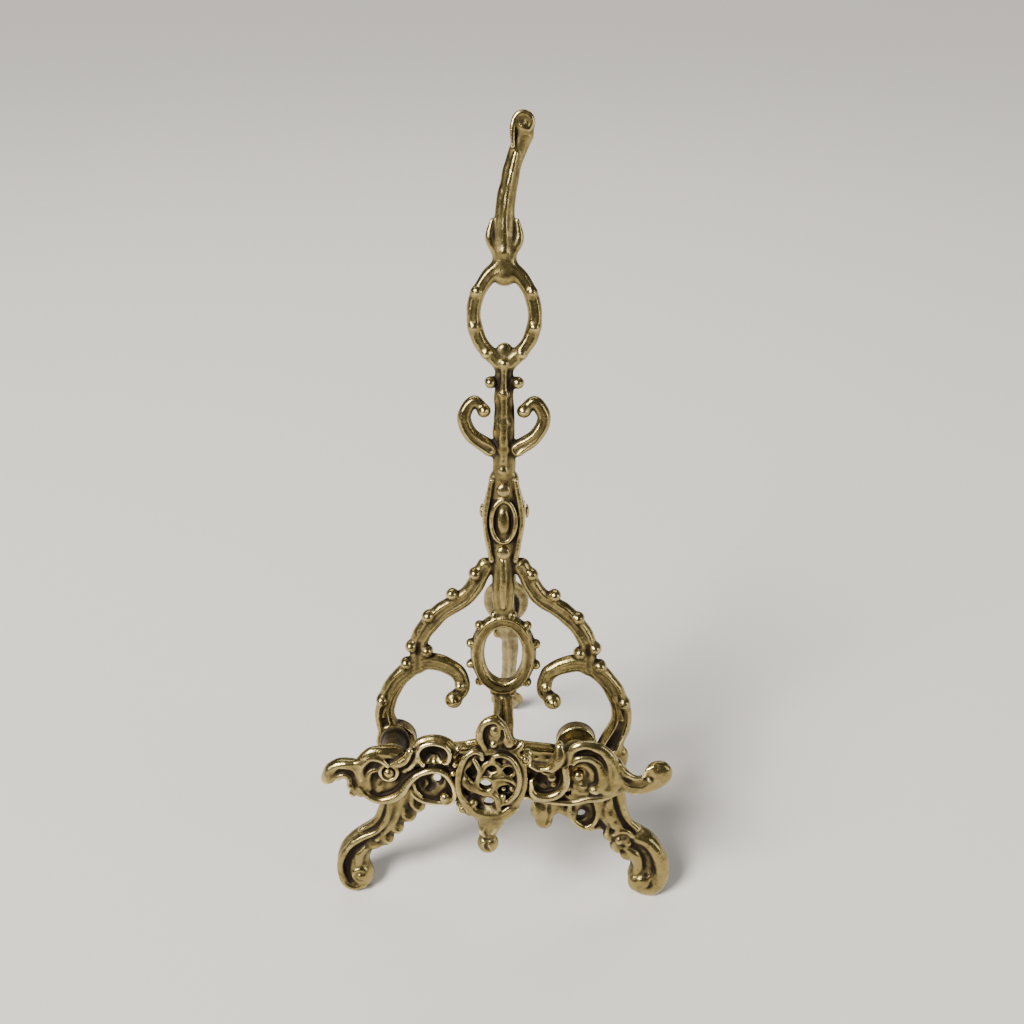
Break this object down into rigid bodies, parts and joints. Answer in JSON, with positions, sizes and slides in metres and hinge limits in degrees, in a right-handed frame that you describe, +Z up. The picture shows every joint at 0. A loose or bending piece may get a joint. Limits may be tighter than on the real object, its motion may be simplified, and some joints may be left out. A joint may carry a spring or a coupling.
{
  "type": "plate display stand",
  "caption": "Cast brass easel for one upright plate, with a low scrolled gallery in front, a pierced rosette and a folding rear leg.",
  "frame": {"origin": "on the floor under the middle of the stand's bounding box", "axes": "+X to the viewer's right, +Y away from the viewer, +Z up"},
  "size_m": [0.142, 0.127, 0.2999],
  "materials": {
    "cast_brass": "sand-cast brass with dark patina in the recesses",
    "gallery_brass": "cast brass, ridges polished by handling",
    "rivet_brass": "drawn brass, hammered heads"
  },
  "bodies": {
    "stand": {"easel_frame": "cast_brass", "gallery_rail": "gallery_brass", "rosette": "gallery_brass", "rosette_rivet_lower": "rivet_brass", "rosette_rivet_upper": "rivet_brass", "ledge_arm_left": "cast_brass", "ledge_arm_right": "cast_brass", "ledge_rivet_left": "rivet_brass", "ledge_rivet_right": "rivet_brass", "ledge_washer_left": "rivet_brass", "ledge_washer_right": "rivet_brass", "hinge_bracket": "cast_brass", "bracket_rivet_upper": "rivet_brass", "bracket_rivet_lower": "rivet_brass", "hinge_pin": "rivet_brass", "hinge_washer_left": "rivet_brass", "hinge_washer_right": "rivet_brass"},
    "rear_leg": {"rear_leg": "cast_brass"}
  },
  "joints": [
    {"name": "rear_leg_hinge", "type": "hinge", "parent": "stand", "child": "rear_leg", "pos_m": [0, 0.01308, 0.15629], "axis": [-1, 0, 0], "range_deg": [0, 32]}
  ]
}
